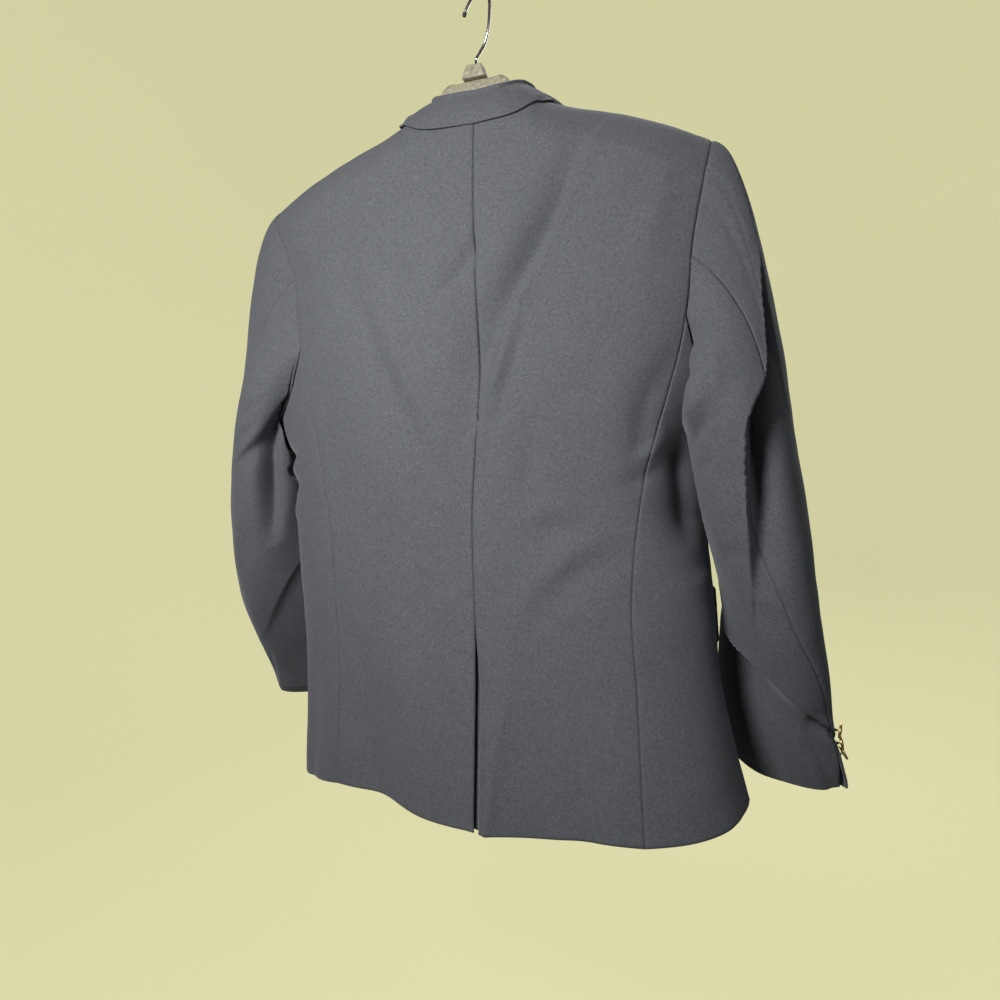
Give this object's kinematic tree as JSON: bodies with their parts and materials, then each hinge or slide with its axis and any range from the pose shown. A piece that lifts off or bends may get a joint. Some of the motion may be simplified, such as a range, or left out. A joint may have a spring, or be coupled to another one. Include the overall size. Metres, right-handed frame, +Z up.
{
  "type": "blazer on a hanger",
  "caption": "Slate navy single-breasted blazer with notched lapels, flap pockets and a centre vent, hung open-necked on a plain coat hanger with a wire hook.",
  "frame": {"origin": "the inner top of the hook's arc, where a rod or peg holds the hanger", "axes": "+Z up, the blazer's front faces -Y and its back +Y, +X is the wearer's left"},
  "size_m": [0.705, 0.2805, 0.8823],
  "materials": {
    "wool": "fine dull worsted weave, softly pressed",
    "gold_tone_metal": "satin, gold tone",
    "hook_steel": "bright plated wire",
    "hanger_plastic": "mottled grey-beige, moulded",
    "dark_tip": "dull black"
  },
  "bodies": {
    "root": {"back_left": "wool", "back_right": "wool", "collar": "wool", "cuff_button_left_1": "gold_tone_metal", "cuff_button_left_2": "gold_tone_metal", "cuff_button_left_3": "gold_tone_metal", "cuff_button_right_1": "gold_tone_metal", "cuff_button_right_2": "gold_tone_metal", "cuff_button_right_3": "gold_tone_metal", "flap_left": "wool", "flap_right": "wool", "front_button_1": "gold_tone_metal", "front_button_2": "gold_tone_metal", "front_left": "wool", "front_right": "wool", "hanger_bar": "hanger_plastic", "hanger_block": "hanger_plastic", "hanger_hook": "hook_steel", "hanger_tip": "dark_tip", "lapel_left": "wool", "lapel_right": "wool", "side_left": "wool", "side_right": "wool", "top_sleeve_left": "wool", "top_sleeve_right": "wool", "under_sleeve_left": "wool", "under_sleeve_right": "wool", "vent_underlap": "wool"}
  },
  "joints": []
}
